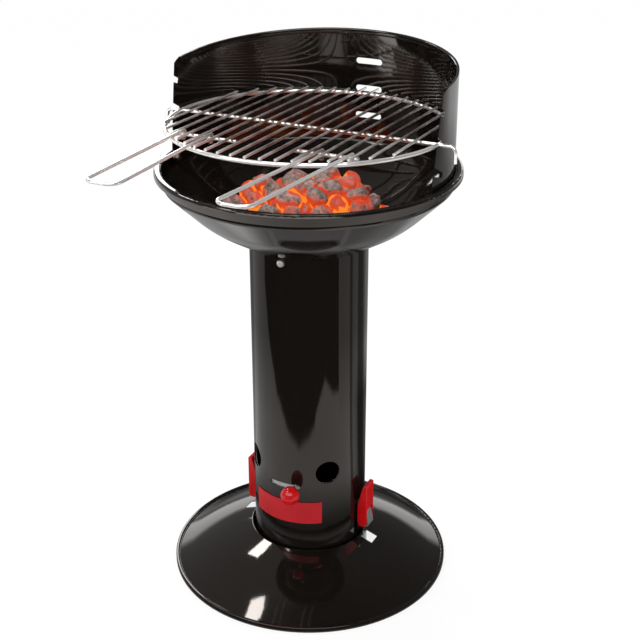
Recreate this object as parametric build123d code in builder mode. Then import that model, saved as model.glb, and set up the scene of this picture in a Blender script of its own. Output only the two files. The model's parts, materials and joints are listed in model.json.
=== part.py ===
from build123d import *
import os
from math import acos, atan2, ceil, cos, degrees, floor, radians, sin, sqrt, tan

os.makedirs("parts", exist_ok=True)

# Charcoal pillar grill. Millimetres, +Z up, floor at Z = 0, front towards -Y.
# Angles round the column are counted from the front, positive towards +X.

# Driving dimensions

# Fits and seats
seat_gap = 0.3
pin_clearance = 0.06
bolt_clearance = 0.3

# Foot plate
foot_radius = 198.0
foot_sheet = 1.5
foot_roll_height = 7.0
foot_roll_width = 3.0
foot_groove_depth = 2.2
foot_groove_width = 3.0
foot_knee_radius = 140.0
foot_knee_height = 34.5
foot_knee_bend = 420.0
well_gap = 2.7
well_corner = 2.3
lip_height = 54.5
lip_bend = 2.2

# Catch tab and the hole that it was cut from
tab_width = 12.0
tab_stand_off = 3.0
tab_top = 74.4
tab_bend = 2.4
catch_gap = 0.4
catch_hole_length = 17.3
catch_hole_width = 20.0

# Column
column_radius = 79.5
column_wall = 1.5
column_length = 492.5
air_hole_diameter = 34.5
air_hole_count = 4
air_hole_height = 176.0
slot_half_angle = 17.0
slot_height = 8.0
slot_centre = 153.0

# Label plate
label_half_angle = 38.6
label_height = 34.0
label_centre = 113.0
label_sheet = 0.7

# Damper
damper_sheet = 1.0
damper_margin = 6.0
damper_hole_extra = 0.5
knob_angle = 11.0
knob_diameter = 26.0
knob_stand_off = 8.5
knob_bore_depth = 9.0
stem_diameter = 4.5
stem_head_diameter = 9.0
stem_head_height = 3.0

# Bowl
rim_radius = 200.0
bowl_depth = 100.9
rim_roll_height = 7.5
rim_bend = 2.0
bowl_sheet = 1.5
bowl_wall_radius = 190.3
bowl_wall_depth = 21.0
bowl_wall_bend = 8.0
bowl_knee_radius = 140.0
bowl_knee_rise = 31.4
bowl_knee_bend = 170.0
bowl_floor_reach = 8.5
bowl_floor_rise = 0.9
bowl_floor_bend = 25.0
neck_bend = 1.0
flange_bend = 2.6
collar_length = 26.5

# Bolts that hold the bowl on the column
column_bolt_count = 3
column_bolt_drop = 9.0
column_bolt_diameter = 6.0
column_bolt_head = 10.5
column_bolt_head_height = 4.0
column_bolt_head_round = 2.6
column_nut_across = 10.0
column_nut_height = 4.5
bolt_tail = 1.5

# Charcoal grate and fuel
coal_grate_radius = 100.0
coal_wire = 5.0
coal_bar = 4.0
coal_bar_pitch = 22.0
lump_size = 31.0
lump_gap = 0.4
lump_wear = 0.3
lump_wear_power = 3
lump_seed = Vector(12.9898, 78.233, 37.719)
heap_layers = 3
heap_base_radius = 104.0
heap_top_radius = 42.0

# Wind shield
shield_sheet = 1.0
shield_overlap = 16.5
shield_rise = 138.0
shield_top_drop = 17.0
shield_end_top = 17.0
shield_end_slope = 0.17
shield_corner_length = 13.0
shield_corner_drop = 4.0
hem_depth = 7.0
hem_gap = 0.4
back_slot_length = 39.0
back_slot_height = 8.2
level_pitch = 38.2
level_count = 3
notch_inner = 9.6
notch_slope = 20.0
notch_flare = 8.0
notch_height = 6.7

# Bolts that hold the shield on the bowl
shield_bolt_end_angle = 83.0
shield_bolt_diameter = 5.0
shield_bolt_head = 8.0
shield_bolt_head_height = 2.2
shield_bolt_head_round = 1.5
shield_bolt_drop = 10.0
shield_nut_across = 8.0
shield_nut_height = 3.5

# Cooking grate
grate_rise = 52.2
grate_tilt = 1.0
ring_radius = 182.3
ring_wire = 5.5
crossbar_wire = 5.0
crossbar_reach = 16.0
crossbar_bend = 8.0
crossbar_drop = 20.5
bar_wire = 3.6
bar_pitch = 18.6
bar_count = 18
bar_overhang = 1.5
long_bar_reach = 9.0

# Handles
rod_wire = 5.0
rod_setback = 116.0
rod_inner = 40.0
rod_outer = 124.0
handle_wire = 4.6
handle_length = 226.0
handle_eye_inner = 76.0
handle_eye_outer = 115.0
handle_tip_inner = 61.0
handle_tip_outer = 102.0
handle_corner = 13.0
handle_curl = 285.0

# Latches, drawn on the +X side and mirrored
lever_width = 24.0
lever_cheek = 2.2
lever_web = 3.0
lever_length = 67.5
lever_foot_radius = 7.0
lever_shoulder = 28.5
lever_shoulder_round = 40.0
lever_tip_thickness = 6.0
lever_tip_round = 2.0
lever_edge_round = 0.9
lever_hollow = 32.0
lever_pivot_height = 77.5
lever_notch_height = 28.0
lever_notch_round = 2.0
latch_pin_diameter = 4.0
latch_pin_cover = 0.8
strap_pin_rise = 14.5
strap_pin_offset = 2.0
strap_width = 17.0
strap_sheet = 1.5
strap_lean = 3.8
strap_eye_wall = 1.4
strap_bend = 2.4
bracket_sheet = 1.5
bracket_width = 16.2
bracket_top = 112.0
bracket_ear_radius = 3.5
rivet_diameter = 5.0
rivet_head = 8.0
rivet_head_height = 2.0
rivet_head_round = 1.3
rivet_low = 92.0
rivet_high = 103.0

# Sizes that follow from the driving dimensions

# Foot and column
well_radius = column_radius + well_gap
well_floor = foot_sheet
column_bottom = well_floor + seat_gap
column_top = column_bottom + column_length
column_bore = column_radius - column_wall
lip_slope = (lip_height - foot_knee_height) / (foot_knee_radius - well_radius)
groove_radius = foot_radius - foot_roll_width - foot_groove_width / 2
tab_face = well_radius + foot_sheet + tab_stand_off
strap_shelf = tab_top - foot_sheet - seat_gap

# Damper
damper_radius = column_bore - seat_gap
damper_bore = damper_radius - damper_sheet
damper_hole = air_hole_diameter + damper_hole_extra
damper_top = air_hole_height + damper_hole / 2 + damper_margin
damper_low = slot_centre - slot_height / 2 - damper_margin
knob_distance = column_radius + knob_stand_off + knob_diameter / 2
stem_seat = sqrt(damper_bore**2 - (stem_head_diameter / 2) ** 2) - pin_clearance
stem_end = column_radius + knob_stand_off + knob_bore_depth - seat_gap

# Bowl
bowl_floor = column_top + seat_gap
collar_radius = column_bore - seat_gap
collar_bore = collar_radius - bowl_sheet
bowl_floor_radius = column_radius + bowl_floor_reach
rim_height = bowl_floor + bowl_depth
bowl_wall_foot = rim_height - bowl_wall_depth
bowl_knee_height = bowl_floor + bowl_knee_rise
flange_under = rim_height - bowl_sheet
roll_bore = rim_radius - bowl_sheet
bowl_slope = atan2(bowl_knee_height - bowl_floor - bowl_floor_rise, bowl_knee_radius - bowl_floor_radius)
column_bolt_height = column_top - column_bolt_drop

# Charcoal grate: its ring lies on the bowl's lower slope
coal_ring_height = (
    bowl_floor
    + bowl_floor_rise
    + (coal_grate_radius - bowl_floor_radius) * tan(bowl_slope)
    + (bowl_sheet + seat_gap + coal_wire / 2) / cos(bowl_slope)
)
coal_bar_height = coal_ring_height + coal_wire / 2 + seat_gap + coal_bar / 2
coal_seat = coal_bar_height + coal_bar / 2 + seat_gap

# Shield
shield_radius = bowl_wall_radius - bowl_sheet - seat_gap
shield_bore = shield_radius - shield_sheet
shield_bottom = rim_height - shield_overlap
shield_bolt_height = rim_height - shield_bolt_drop
shield_back_height = rim_height + shield_rise
shield_top_slope = shield_top_drop / shield_radius

# Cooking grate: drawn level, then tilted about its crossbar so that it dips towards the back slot
grate_height = rim_height + grate_rise
rod_height = grate_height + (ring_wire - rod_wire) / 2 + seat_gap
bar_height = rod_height + rod_wire / 2 + seat_gap + bar_wire / 2
eye_radius = rod_wire / 2 + pin_clearance + handle_wire / 2
handle_height = rod_height + eye_radius
crossbar_setback = notch_inner + crossbar_wire / 2 + seat_gap
tilt_axis = Axis((0, -crossbar_setback, grate_height), (-1, 0, 0))
tail_dip = (shield_radius + crossbar_setback) * sin(radians(grate_tilt))
back_slot_low = bar_height - tail_dip - bar_wire / 2 - seat_gap
crossbar_end = shield_radius + crossbar_reach

# Latch
bracket_face = column_radius + seat_gap + bracket_sheet
lever_face = bracket_face + seat_gap + 2 * lever_foot_radius
lever_pivot = lever_face - lever_foot_radius
lever_tip = lever_pivot_height - lever_foot_radius + lever_length
lever_notch_top = lever_pivot_height - lever_foot_radius + lever_notch_height
pin_hole_reach = lever_width / 2 - latch_pin_cover
pin_reach = pin_hole_reach - seat_gap
strap_pivot = lever_pivot + strap_pin_offset
strap_pivot_height = lever_pivot_height + strap_pin_rise
strap_eye_radius = latch_pin_diameter / 2 + pin_clearance + strap_eye_wall
strap_face = strap_pivot + strap_eye_radius
strap_foot = strap_shelf - strap_sheet
strap_slope = atan2(strap_lean, strap_pivot_height - strap_foot)
strap_back = strap_face + (strap_pivot_height - tab_top) * tan(strap_slope) - strap_sheet / cos(strap_slope)


def radial(angle, height, distance=0.0):
    """Plane whose normal points out of the column at this angle from the front."""
    a = radians(angle)
    out = Vector(sin(a), -cos(a), 0)
    return Plane(out * distance + Vector(0, 0, height), x_dir=(cos(a), sin(a), 0), z_dir=out)


def meridian(angle):
    """Upright plane through the column's axis, its X pointing out at this angle."""
    a = radians(angle)
    return Plane((0, 0, 0), x_dir=(sin(a), -cos(a), 0), z_dir=(-cos(a), -sin(a), 0))


def foot_surface(radius):
    """Height of the foot plate's upper side between the lip and the knee."""
    return lip_height - (radius - well_radius) * lip_slope


def shield_top(y):
    """Height of the shield's sloping top edge at this depth."""
    return shield_back_height - (shield_radius - y) * shield_top_slope


def worn(corner, place):
    """A lump's corner, drawn in by a share that differs from corner to corner and lump to lump."""
    wave = sin((corner + place).dot(lump_seed)) * lump_seed.length**2
    return corner * (1 - lump_wear * (wave - floor(wave)) ** lump_wear_power)


def finish(builder, label, tilt=0.0):
    part = builder.part.rotate(tilt_axis, tilt) if tilt else builder.part
    part.label = label
    export_step(part, f"parts/{label}.step")


column_bolt_angles = [360 / column_bolt_count * i for i in range(column_bolt_count)]
air_hole_angles = [360 / air_hole_count * (i + 0.5) for i in range(air_hole_count)]
shield_bolt_angles = [-shield_bolt_end_angle, shield_bolt_end_angle, 180.0]
level_lifts = [level_pitch * (i - (level_count - 1) / 2) for i in range(level_count)]
bar_places = [bar_pitch * (i - (bar_count - 1) / 2) for i in range(bar_count)]


# Foot plate: one sheet drawn from the middle of the well outwards, with two catch tabs
with BuildPart() as foot_plate:
    with BuildSketch(Plane.XZ):
        with BuildLine():
            FilletPolyline(
                (0, well_floor),
                (well_radius, well_floor),
                (well_radius, lip_height),
                (foot_knee_radius, foot_knee_height),
                (groove_radius, foot_roll_height - foot_groove_depth),
                (foot_radius - foot_roll_width, foot_roll_height),
                (foot_radius, foot_roll_height),
                (foot_radius, 0),
                radius=[well_corner, lip_bend, foot_knee_bend, foot_sheet, 0, foot_sheet],
            )
            offset(amount=foot_sheet, side=Side.RIGHT)
        make_face()
    revolve(axis=Axis.Z)
    hole_centre = tab_face + catch_hole_length / 2
    with BuildSketch(Plane.XY.offset(lip_height)):
        with Locations((hole_centre, 0), (-hole_centre, 0)):
            Rectangle(catch_hole_length, catch_hole_width)
    extrude(amount=foot_knee_height - lip_height, mode=Mode.SUBTRACT)
    with BuildSketch(Plane.XZ):
        with BuildLine():
            FilletPolyline(
                (tab_face, foot_surface(tab_face) - foot_sheet / 2),
                (tab_face, tab_top),
                (strap_back - catch_gap, tab_top),
                radius=[tab_bend],
            )
            offset(amount=foot_sheet, side=Side.RIGHT)
        make_face()
        mirror(about=Plane.YZ)
    extrude(amount=tab_width / 2, both=True)
finish(foot_plate, "foot_plate")

# Column: tube with air holes, a knob slot and holes for bolts and rivets
with BuildPart() as column:
    with BuildSketch(Plane.XY.offset(column_bottom)):
        Circle(column_radius)
        Circle(column_bore, mode=Mode.SUBTRACT)
    extrude(amount=column_length)
    for angle in air_hole_angles:
        with BuildSketch(radial(angle, air_hole_height)):
            Circle(air_hole_diameter / 2)
        extrude(amount=2 * column_radius, mode=Mode.SUBTRACT)
    slot_end_angle = slot_half_angle - degrees(slot_height / 2 / column_radius)
    with BuildSketch(Plane.XY.offset(slot_centre - slot_height / 2)):
        with BuildLine():
            reach = 2 * column_radius
            left = (-reach * sin(radians(slot_end_angle)), -reach * cos(radians(slot_end_angle)))
            Polyline((0, 0), left, (-left[0], left[1]), close=True)
        make_face()
    extrude(amount=slot_height, mode=Mode.SUBTRACT)
    for angle in (-slot_end_angle, slot_end_angle):
        with BuildSketch(radial(angle, slot_centre)):
            Circle(slot_height / 2)
        extrude(amount=2 * column_radius, mode=Mode.SUBTRACT)
    for angle in column_bolt_angles:
        with BuildSketch(radial(angle, column_bolt_height)):
            Circle(column_bolt_diameter / 2 + bolt_clearance)
        extrude(amount=2 * column_radius, mode=Mode.SUBTRACT)
    for height in (rivet_low, rivet_high):
        with BuildSketch(Plane.YZ):
            with Locations((0, height)):
                Circle(rivet_diameter / 2 + pin_clearance)
        extrude(amount=2 * column_radius, both=True, mode=Mode.SUBTRACT)
finish(column, "column")

# Label plate: bare curved plate under the knob slot
with BuildPart() as label_plate:
    with BuildSketch(meridian(-label_half_angle)):
        with Locations((column_radius + seat_gap + label_sheet / 2, label_centre)):
            Rectangle(label_sheet, label_height)
    revolve(axis=Axis.Z, revolution_arc=2 * label_half_angle)
finish(label_plate, "label_plate")

# Damper: band inside the column, its stem and ball knob
with BuildPart() as damper_ring:
    with BuildSketch(Plane.XY.offset(damper_low)):
        Circle(damper_radius)
        Circle(damper_bore, mode=Mode.SUBTRACT)
    extrude(amount=damper_top - damper_low)
    for angle in air_hole_angles:
        with BuildSketch(radial(angle, air_hole_height)):
            Circle(damper_hole / 2)
        extrude(amount=2 * damper_radius, mode=Mode.SUBTRACT)
    with BuildSketch(radial(knob_angle, slot_centre)):
        Circle(stem_diameter / 2 + pin_clearance)
    extrude(amount=2 * damper_radius, mode=Mode.SUBTRACT)
finish(damper_ring, "damper_ring")

with BuildPart() as damper_stem:
    with BuildSketch(radial(knob_angle, slot_centre, stem_seat)):
        Circle(stem_head_diameter / 2)
    extrude(amount=-stem_head_height)
    with BuildSketch(radial(knob_angle, slot_centre, stem_seat)):
        Circle(stem_diameter / 2)
    extrude(amount=stem_end - stem_seat)
finish(damper_stem, "damper_stem")

with BuildPart(radial(knob_angle, slot_centre, knob_distance)) as damper_knob:
    Sphere(knob_diameter / 2)
    with BuildSketch(radial(knob_angle, slot_centre, column_radius)):
        Circle(stem_diameter / 2 + pin_clearance)
    extrude(amount=knob_stand_off + knob_bore_depth, mode=Mode.SUBTRACT)
finish(damper_knob, "damper_knob")

# Bowl: one sheet from the collar in the column to the rolled flange
with BuildPart() as bowl:
    with BuildSketch(Plane.XZ):
        with BuildLine():
            FilletPolyline(
                (collar_radius, bowl_floor - collar_length),
                (collar_radius, bowl_floor),
                (bowl_floor_radius, bowl_floor + bowl_floor_rise),
                (bowl_knee_radius, bowl_knee_height),
                (bowl_wall_radius, bowl_wall_foot),
                (bowl_wall_radius, flange_under),
                (roll_bore, flange_under),
                (roll_bore, rim_height - rim_roll_height),
                radius=[neck_bend, bowl_floor_bend, bowl_knee_bend, bowl_wall_bend, flange_bend, rim_bend],
            )
            offset(amount=bowl_sheet, side=Side.LEFT)
        make_face()
    revolve(axis=Axis.Z)
    for angle in column_bolt_angles:
        with BuildSketch(radial(angle, column_bolt_height)):
            Circle(column_bolt_diameter / 2 + bolt_clearance)
        extrude(amount=2 * column_radius, mode=Mode.SUBTRACT)
    for angle in shield_bolt_angles:
        with BuildSketch(radial(angle, shield_bolt_height, bowl_knee_radius)):
            Circle(shield_bolt_diameter / 2 + bolt_clearance)
        extrude(amount=2 * bowl_wall_radius, mode=Mode.SUBTRACT)
finish(bowl, "bowl")


# Bolts through the column and the collar, with their nuts inside
column_nut_corner = column_nut_across / sqrt(3)
column_nut_seat = sqrt(collar_bore**2 - column_nut_corner**2) - pin_clearance
column_bolt_end = column_nut_seat - column_nut_height - bolt_tail
with BuildPart() as column_bolts:
    for angle in column_bolt_angles:
        with BuildSketch(radial(angle, column_bolt_height, column_radius + pin_clearance)):
            Circle(column_bolt_head / 2)
        extrude(amount=column_bolt_head_height)
        head_face = column_bolts.faces(Select.LAST).sort_by_distance((0, 0, column_bolt_height))[-1]
        fillet(head_face.edges(), column_bolt_head_round)
        with BuildSketch(radial(angle, column_bolt_height, column_bolt_end)):
            Circle(column_bolt_diameter / 2)
        extrude(amount=column_radius + column_bolt_head_height / 2 - column_bolt_end)
finish(column_bolts, "column_bolts")

with BuildPart() as column_nuts:
    for angle in column_bolt_angles:
        with BuildSketch(radial(angle, column_bolt_height, column_nut_seat)):
            RegularPolygon(column_nut_corner, 6)
            Circle(column_bolt_diameter / 2 + pin_clearance, mode=Mode.SUBTRACT)
        extrude(amount=-column_nut_height)
finish(column_nuts, "column_nuts")

# Charcoal grate over the mouth of the column
with BuildPart() as coal_ring:
    with BuildSketch(Plane.XZ):
        with Locations((coal_grate_radius, coal_ring_height)):
            Circle(coal_wire / 2)
    revolve(axis=Axis.Z)
finish(coal_ring, "coal_ring")

coal_bar_side = int(coal_grate_radius / coal_bar_pitch)
with BuildPart() as coal_bars:
    for i in range(-coal_bar_side, coal_bar_side + 1):
        half = sqrt(coal_grate_radius**2 - (i * coal_bar_pitch) ** 2)
        with BuildSketch(Plane.XZ):
            with Locations((i * coal_bar_pitch, coal_bar_height)):
                Circle(coal_bar / 2)
        extrude(amount=half, both=True)
finish(coal_bars, "coal_bars")

# Charcoal: a heap of lumps, each with fourteen flats that lie close to its neighbours'
lump_unit = (lump_size - lump_gap) / 4
lump_corners = [
    (sx * a, sy * b, sz * c)
    for a, b, c in ((0, 1, 2), (0, 2, 1), (1, 0, 2), (2, 0, 1), (1, 2, 0), (2, 1, 0))
    for sx in (-1, 1)
    for sy in (-1, 1)
    for sz in (-1, 1)
]
lump_corners = [Vector(*corner) * lump_unit for corner in sorted(set(lump_corners))]
heap_steps = ceil(heap_base_radius / lump_size) + 1
lump_places = []
for layer in range(heap_layers):
    share = layer / (heap_layers - 1) if heap_layers > 1 else 0
    limit = heap_base_radius + (heap_top_radius - heap_base_radius) * share**2
    shift = lump_size / 2 * (layer % 2)
    for i in range(-heap_steps, heap_steps + 1):
        for j in range(-heap_steps, heap_steps + 1):
            lift = coal_seat + lump_size / 2 * (layer + 1)
            place = Vector(i * lump_size + shift, j * lump_size + shift, lift)
            if Vector(place.X, place.Y).length <= limit:
                lump_places.append(place)
with BuildPart() as charcoal:
    add(
        Pos(place) * ConvexPolyhedron([worn(corner, place) for corner in lump_corners], mode=Mode.PRIVATE)
        for place in lump_places
    )
finish(charcoal, "charcoal")

# Wind shield: rolled sheet, sloping hemmed top, slots at the back, notches at the ends
end_top_height = shield_top(-shield_end_top) - shield_corner_drop
end_bottom = shield_end_top + (end_top_height - shield_bottom) * shield_end_slope
hem_start = shield_corner_length - shield_end_top
beyond = shield_radius + rim_radius
with BuildPart() as wind_shield:
    with BuildSketch(Plane.XY.offset(shield_bottom)):
        Circle(shield_radius)
        Circle(shield_bore, mode=Mode.SUBTRACT)
    extrude(amount=shield_back_height - shield_bottom)
    with BuildSketch(Plane.YZ):
        with BuildLine():
            Polyline(
                (-end_bottom, shield_bottom),
                (-shield_end_top, end_top_height),
                (hem_start, shield_top(hem_start)),
                (shield_radius, shield_top(shield_radius)),
                (shield_radius, shield_bottom),
                close=True,
            )
        make_face()
    extrude(amount=beyond, both=True, mode=Mode.INTERSECT)
    with BuildSketch(Plane.XY.offset(shield_bottom)):
        Circle(shield_bore)
        Circle(shield_bore - hem_gap - shield_sheet, mode=Mode.SUBTRACT)
    hem = extrude(amount=shield_back_height - shield_bottom, mode=Mode.PRIVATE)
    with BuildSketch(Plane.YZ):
        with BuildLine():
            Polyline(
                (hem_start, shield_top(hem_start)),
                (shield_radius, shield_top(shield_radius)),
                (shield_radius, shield_top(shield_radius) - hem_depth),
                (hem_start, shield_top(hem_start) - hem_depth),
                close=True,
            )
        make_face()
    hem_band = extrude(amount=beyond, both=True, mode=Mode.PRIVATE)
    add(hem & hem_band)
    with BuildSketch(Plane.XY.offset(shield_bottom)):
        Circle(shield_bore)
        Circle(shield_bore - hem_gap, mode=Mode.SUBTRACT)
    fold = extrude(amount=shield_back_height - shield_bottom, mode=Mode.PRIVATE)
    with BuildSketch(Plane.YZ):
        with BuildLine():
            Polyline(
                (hem_start, shield_top(hem_start) - shield_sheet),
                (shield_radius, shield_top(shield_radius) - shield_sheet),
                (shield_radius, shield_top(shield_radius) - 2 * hem_depth),
                (hem_start, shield_top(hem_start) - 2 * hem_depth),
                close=True,
            )
        make_face()
    fold_band = extrude(amount=beyond, both=True, mode=Mode.PRIVATE)
    add(fold & fold_band, mode=Mode.SUBTRACT)
    for lift in level_lifts:
        with BuildSketch(radial(180, back_slot_low + back_slot_height / 2 + lift, ring_radius - ring_wire)):
            SlotOverall(back_slot_length, back_slot_height)
        extrude(amount=rim_radius, mode=Mode.SUBTRACT)
        wire_centre = Vector(-crossbar_setback, grate_height + lift)
        along = Vector(-cos(radians(notch_slope)), sin(radians(notch_slope)))
        flared = Vector(-cos(radians(notch_slope + notch_flare)), sin(radians(notch_slope + notch_flare)))
        across = Vector(sin(radians(notch_slope)), cos(radians(notch_slope)))
        inner = wire_centre - along * (crossbar_wire / 2 + seat_gap)
        low = inner - across * (crossbar_wire / 2 + seat_gap)
        high = low + across * notch_height
        with BuildSketch(Plane.YZ):
            with BuildLine():
                Polyline(low, high, high + flared * end_bottom * 2, low + along * end_bottom * 2, close=True)
            make_face()
        extrude(amount=beyond, both=True, mode=Mode.SUBTRACT)
    for angle in shield_bolt_angles:
        with BuildSketch(radial(angle, shield_bolt_height, bowl_knee_radius)):
            Circle(shield_bolt_diameter / 2 + bolt_clearance)
        extrude(amount=2 * bowl_wall_radius, mode=Mode.SUBTRACT)
finish(wind_shield, "wind_shield")

# Bolts through the bowl's wall and the shield, heads outside, nuts inside
shield_nut_corner = shield_nut_across / sqrt(3)
shield_nut_seat = sqrt(shield_bore**2 - shield_nut_corner**2) - pin_clearance
shield_bolt_end = shield_nut_seat - shield_nut_height - bolt_tail
with BuildPart() as shield_bolts:
    for angle in shield_bolt_angles:
        with BuildSketch(radial(angle, shield_bolt_height, bowl_wall_radius + pin_clearance)):
            Circle(shield_bolt_head / 2)
        extrude(amount=shield_bolt_head_height)
        head_face = shield_bolts.faces(Select.LAST).sort_by_distance((0, 0, shield_bolt_height))[-1]
        fillet(head_face.edges(), shield_bolt_head_round)
        with BuildSketch(radial(angle, shield_bolt_height, shield_bolt_end)):
            Circle(shield_bolt_diameter / 2)
        extrude(amount=bowl_wall_radius + shield_bolt_head_height / 2 - shield_bolt_end)
finish(shield_bolts, "shield_bolts")

with BuildPart() as shield_nuts:
    for angle in shield_bolt_angles:
        with BuildSketch(radial(angle, shield_bolt_height, shield_nut_seat)):
            RegularPolygon(shield_nut_corner, 6)
            Circle(shield_bolt_diameter / 2 + pin_clearance, mode=Mode.SUBTRACT)
        extrude(amount=-shield_nut_height)
finish(shield_nuts, "shield_nuts")

# Cooking grate frame: a crossbar whose bent ends hang in the notches, and two hoops welded to it
with BuildPart() as grate_crossbar:
    with BuildLine(Plane.XZ.offset(crossbar_setback)) as crossbar_path:
        FilletPolyline(
            (-crossbar_end, grate_height - crossbar_drop),
            (-crossbar_end, grate_height),
            (crossbar_end, grate_height),
            (crossbar_end, grate_height - crossbar_drop),
            radius=crossbar_bend,
        )
    with BuildSketch(Plane(crossbar_path.line @ 0, z_dir=crossbar_path.line % 0)):
        Circle(crossbar_wire / 2)
    sweep(path=crossbar_path.line)
finish(grate_crossbar, "grate_crossbar")

hoop_gap = crossbar_wire / 2 + seat_gap
front_end = degrees(acos((crossbar_setback + hoop_gap) / ring_radius))
back_end = degrees(acos((crossbar_setback - hoop_gap) / ring_radius))
with BuildPart() as grate_hoops:
    for start, stop in ((-front_end, front_end), (back_end, 360 - back_end)):
        with BuildSketch(meridian(start)):
            with Locations((ring_radius, grate_height)):
                Circle(ring_wire / 2)
        revolve(axis=Axis.Z, revolution_arc=stop - start)
finish(grate_hoops, "grate_hoops", grate_tilt)

# Bars from front to back on the frame, the middle pair reaching out through the back slot
with BuildPart() as grate_bars:
    for place in bar_places:
        half = sqrt((ring_radius + bar_overhang) ** 2 - place**2)
        long_bar = abs(place) < bar_pitch
        back = shield_radius + long_bar_reach if long_bar else half
        with BuildSketch(Plane.XZ.offset(half)):
            with Locations((place, bar_height)):
                Circle(bar_wire / 2)
        extrude(amount=-(half + back))
finish(grate_bars, "grate_bars", grate_tilt)

# Handle rods under the bars, and wire handles whose eyes turn on them
with BuildPart() as handle_rod_right:
    with BuildSketch(Plane.YZ.offset(rod_inner)):
        with Locations((-rod_setback, rod_height)):
            Circle(rod_wire / 2)
    extrude(amount=rod_outer - rod_inner)
finish(handle_rod_right, "handle_rod_right", grate_tilt)

with BuildPart() as handle_rod_left:
    mirror(handle_rod_right.part, about=Plane.YZ)
finish(handle_rod_left, "handle_rod_left", grate_tilt)

rod_axis = Axis((0, -rod_setback, rod_height), (-1, 0, 0))
with BuildPart() as handle_right:
    with BuildLine(Plane.XY.offset(handle_height)) as loop:
        FilletPolyline(
            (handle_eye_inner, -rod_setback),
            (handle_tip_inner, -rod_setback - handle_length),
            (handle_tip_outer, -rod_setback - handle_length),
            (handle_eye_outer, -rod_setback),
            radius=handle_corner,
        )
    with BuildSketch(Plane(loop.line @ 0, z_dir=loop.line % 0)):
        Circle(handle_wire / 2)
    sweep(path=loop.line)
    for eye in (handle_eye_inner, handle_eye_outer):
        with BuildSketch(Plane.XZ.offset(rod_setback)):
            with Locations((eye, handle_height)):
                Circle(handle_wire / 2)
        revolve(axis=rod_axis, revolution_arc=handle_curl)
finish(handle_right, "handle_right", grate_tilt)

with BuildPart() as handle_left:
    mirror(handle_right.part, about=Plane.YZ)
finish(handle_left, "handle_left", grate_tilt)

# Latch bracket: plate on the column with two ears for the lever's pin
with BuildPart() as latch_bracket_right:
    bracket_bottom = lever_pivot_height - bracket_ear_radius
    with BuildSketch(Plane.YZ.offset(column_radius + seat_gap)):
        with Locations((0, (bracket_bottom + bracket_top) / 2)):
            Rectangle(bracket_width, bracket_top - bracket_bottom)
    extrude(amount=bracket_sheet)
    for side in (-1, 1):
        with BuildSketch(Plane.XZ.offset(side * bracket_width / 2)):
            with BuildLine():
                pin_low = (lever_pivot, lever_pivot_height - bracket_ear_radius)
                pin_high = (lever_pivot, lever_pivot_height + bracket_ear_radius)
                pin_out = (lever_pivot + bracket_ear_radius, lever_pivot_height)
                Polyline(
                    pin_high,
                    (column_radius + seat_gap, lever_pivot_height + 2 * bracket_ear_radius),
                    (column_radius + seat_gap, lever_pivot_height - bracket_ear_radius),
                    pin_low,
                )
                ThreePointArc(pin_low, pin_out, pin_high)
            make_face()
            with Locations((lever_pivot, lever_pivot_height)):
                Circle(latch_pin_diameter / 2 + pin_clearance, mode=Mode.SUBTRACT)
        extrude(amount=-side * bracket_sheet)
    with BuildSketch(Plane.YZ):
        with Locations((0, rivet_low), (0, rivet_high)):
            Circle(rivet_diameter / 2 + pin_clearance)
    extrude(amount=bracket_face + bracket_sheet, mode=Mode.SUBTRACT)
finish(latch_bracket_right, "latch_bracket_right")

with BuildPart() as latch_bracket_left:
    mirror(latch_bracket_right.part, about=Plane.YZ)
finish(latch_bracket_left, "latch_bracket_left")

with BuildPart() as latch_rivets:
    for height in (rivet_low, rivet_high):
        with BuildSketch(Plane.YZ.offset(bracket_face + pin_clearance)):
            with Locations((0, height)):
                Circle(rivet_head / 2)
        extrude(amount=rivet_head_height)
        head_face = latch_rivets.faces(Select.LAST).sort_by(Axis.X)[-1]
        fillet(head_face.edges(), rivet_head_round)
        rivet_tail = sqrt(column_bore**2 - (rivet_head / 2) ** 2) - pin_clearance
        with BuildSketch(Plane.YZ.offset(rivet_tail)):
            with Locations((0, height)):
                Circle(rivet_head / 2)
        extrude(amount=-rivet_head_height)
        with BuildSketch(Plane.YZ.offset(rivet_tail)):
            with Locations((0, height)):
                Circle(rivet_diameter / 2)
        extrude(amount=bracket_face + rivet_head_height / 2 - rivet_tail)
    mirror(about=Plane.YZ)
finish(latch_rivets, "latch_rivets")

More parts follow.
